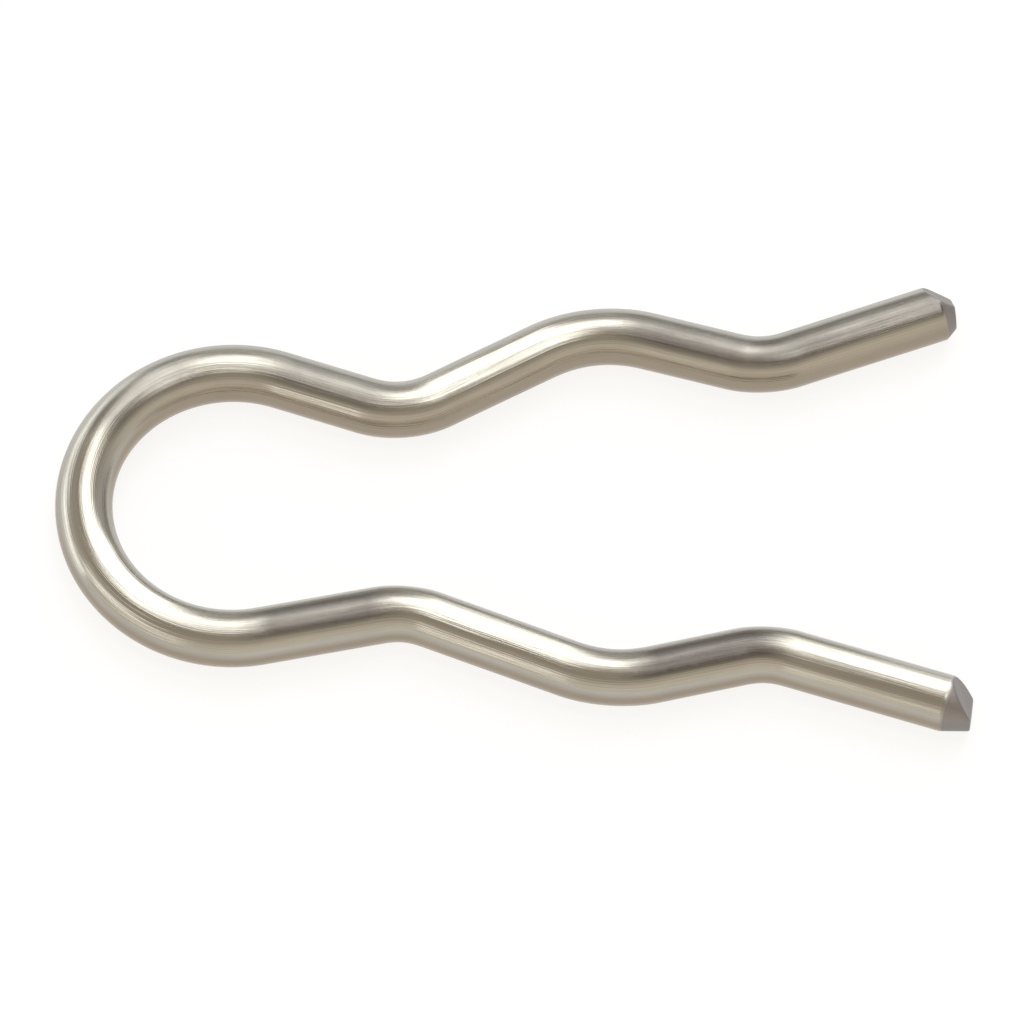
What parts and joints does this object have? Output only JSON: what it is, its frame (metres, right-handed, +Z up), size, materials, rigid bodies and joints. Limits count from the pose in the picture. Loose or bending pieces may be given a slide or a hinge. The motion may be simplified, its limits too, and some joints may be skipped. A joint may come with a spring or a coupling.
{
  "type": "hitch r clip pin",
  "caption": "Spring clip bent from round wire: a near-circular loop with two waved legs that pinch and hold a shaft between them.",
  "frame": {"origin": "under the centre of the loop, on the surface that the clip lies on", "axes": "+X from the loop to the free ends, +Y across the legs, +Z up, square to the flat of the clip"},
  "size_m": [0.0635, 0.0342, 0.004],
  "materials": {
    "plated_wire": "bright plated spring steel wire, polished, warm grey"
  },
  "bodies": {
    "root": {"spring_wire": "plated_wire"}
  },
  "joints": []
}
